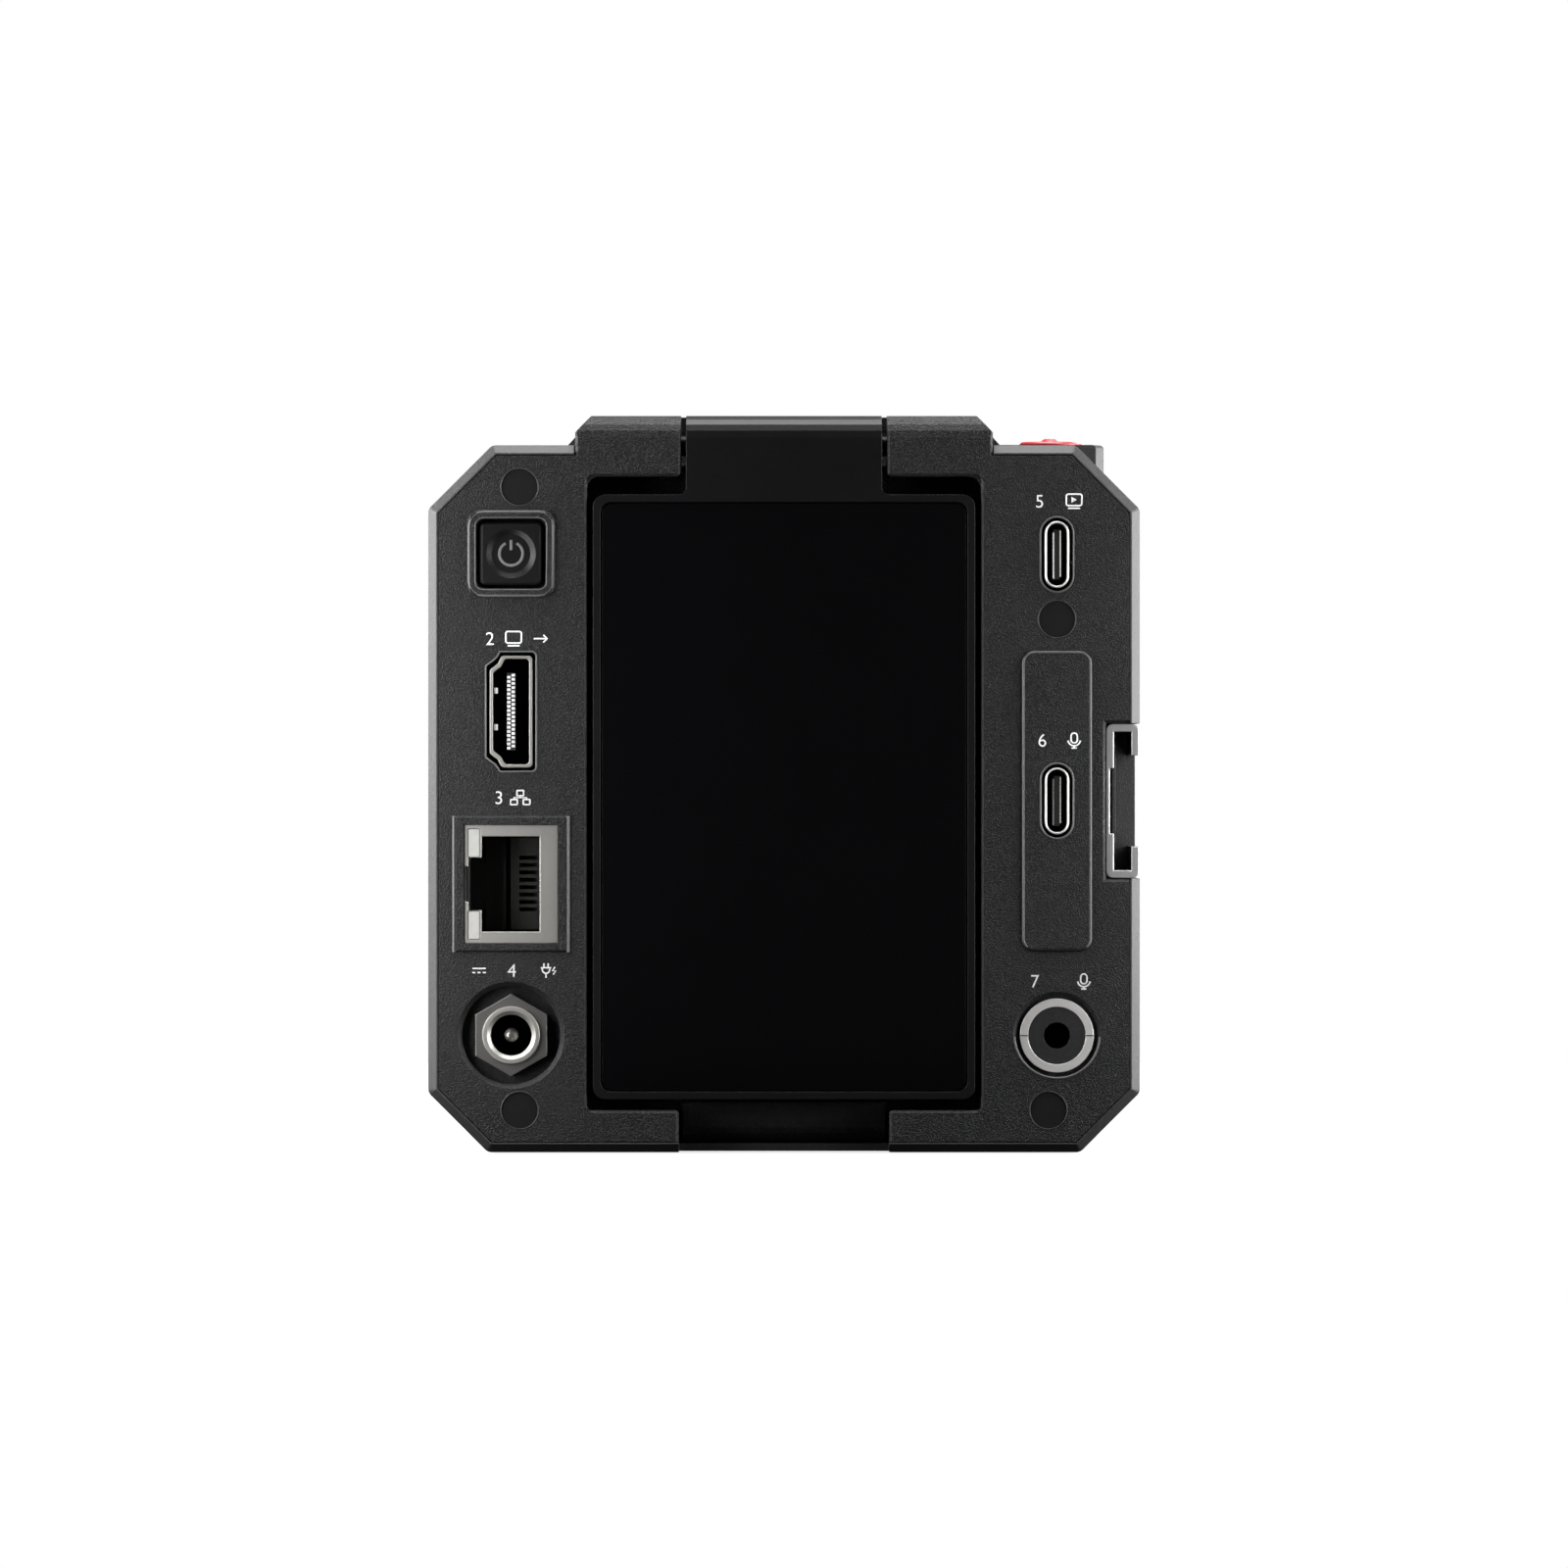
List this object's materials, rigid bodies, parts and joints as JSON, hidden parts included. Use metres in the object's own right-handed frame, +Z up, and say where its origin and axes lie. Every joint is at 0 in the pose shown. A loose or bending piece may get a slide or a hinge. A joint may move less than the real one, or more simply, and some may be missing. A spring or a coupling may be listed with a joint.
{
  "type": "live streaming camera",
  "caption": "Boxy black streaming camera with chamfered corners, a flip-up screen on its rear, a column of sockets at each side, a red top key and a cold shoe.",
  "frame": {"origin": "centre of the overall box in plan, at the flat base", "axes": "+X to the right seen from the rear panel, +Y from the rear panel to the lens, +Z up"},
  "size_m": [0.0956, 0.0834, 0.099],
  "materials": {
    "housing_metal": "fine-grained matt black coat on a cast alloy",
    "panel_black": "fine-grained matt black moulding",
    "screw_steel": "bright machine screws and pins",
    "soft_plug": "soft matt black plug",
    "bearing_plastic": "self-lubricating plastic bush",
    "shoe_metal": "satin black anodised",
    "socket_metal": "plated connector shell",
    "insert_black": "black connector moulding",
    "contact_gold": "plated spring contact",
    "light_pipe": "clear light pipe, unlit",
    "board_green": "solder-masked circuit board",
    "ring_dark": "dark anodised trim ring",
    "sink_aluminium": "extruded heat sink",
    "fan_plastic": "black moulded fan",
    "ring_metal": "satin black turned ring",
    "barrel_black": "deep matt black lens mount",
    "lens_glass": "coated optical glass",
    "magnet_plate": "plated magnet of the focus drive",
    "sensor_glass": "dark image sensor face",
    "filter_tint": "blue-green infrared filter",
    "power_cap": "matt black key cap",
    "live_red": "satin red key cap",
    "screen_black": "matt black screen case",
    "cover_glass": "glossy black cover glass, display off",
    "display_black": "display panel, off"
  },
  "bodies": {
    "camera_body": {"main_housing": "housing_metal", "case_posts": "housing_metal", "shoe_tray": "housing_metal", "rear_panel": "panel_black", "front_panel": "housing_metal", "case_screws": "screw_steel", "screw_plugs": "soft_plug", "hinge_bushes": "bearing_plastic", "shoe_bracket": "shoe_metal", "shoe_screws": "screw_steel", "tripod_plate": "shoe_metal", "tripod_plate_screws": "screw_steel", "hdmi_shell": "socket_metal", "hdmi_tongue": "insert_black", "lan_shell": "socket_metal", "lan_insert": "insert_black", "lan_contacts": "contact_gold", "lan_lights": "light_pipe", "dc_jack_barrel": "socket_metal", "dc_jack_nut": "socket_metal", "dc_jack_pin": "contact_gold", "usb_shells": "socket_metal", "usb_tongues": "insert_black", "audio_jack_ring": "socket_metal", "audio_jack_body": "insert_black", "key_switches": "insert_black", "key_boards": "board_green", "live_button_ring": "ring_dark", "main_board": "board_green", "board_screws": "screw_steel", "processor": "insert_black", "heat_sink": "sink_aluminium", "fan_frame": "fan_plastic", "fan_screws": "screw_steel", "lens_ring": "ring_metal", "lens_barrel": "barrel_black", "front_lens": "lens_glass", "middle_lens": "lens_glass", "focus_rods": "screw_steel", "focus_magnet": "magnet_plate", "sensor_board": "board_green", "image_sensor": "sensor_glass", "filter_glass": "filter_tint", "microphones": "screw_steel", "status_light": "light_pipe"},
    "flip_screen": {"screen_frame": "screen_black", "screen_glass": "cover_glass", "display_panel": "display_black", "screen_board": "board_green", "screen_back": "screen_black", "screen_screws": "screw_steel", "hinge_pins": "screw_steel"},
    "live_key": {"live_button": "live_red"},
    "power_key": {"power_button": "power_cap"},
    "focus_slide": {"focus_carrier": "barrel_black", "focus_lens": "lens_glass"},
    "fan_rotor": {"fan_impeller": "fan_plastic"}
  },
  "joints": [
    {"name": "screen_flip", "type": "hinge", "parent": "camera_body", "child": "flip_screen", "pos_m": [0, -0.03728, 0.095], "axis": [-1, 0, 0], "range_deg": [0, 180]},
    {"name": "live_press", "type": "slide", "parent": "camera_body", "child": "live_key", "axis": [0, 0, -1], "range_m": [0, 0.0005], "stiffness_N_per_m": 2500, "springref_m": -0.0002},
    {"name": "power_press", "type": "slide", "parent": "camera_body", "child": "power_key", "axis": [0, 1, 0], "range_m": [0, 0.0005], "stiffness_N_per_m": 2500, "springref_m": -0.0002},
    {"name": "focus_travel", "type": "slide", "parent": "camera_body", "child": "focus_slide", "axis": [0, 1, 0], "range_m": [-0.001, 0.001]},
    {"name": "fan_spin", "type": "hinge", "parent": "camera_body", "child": "fan_rotor", "pos_m": [-0.0402, -0.00077, 0.0475], "axis": [1, 0, 0], "continuous": true}
  ]
}
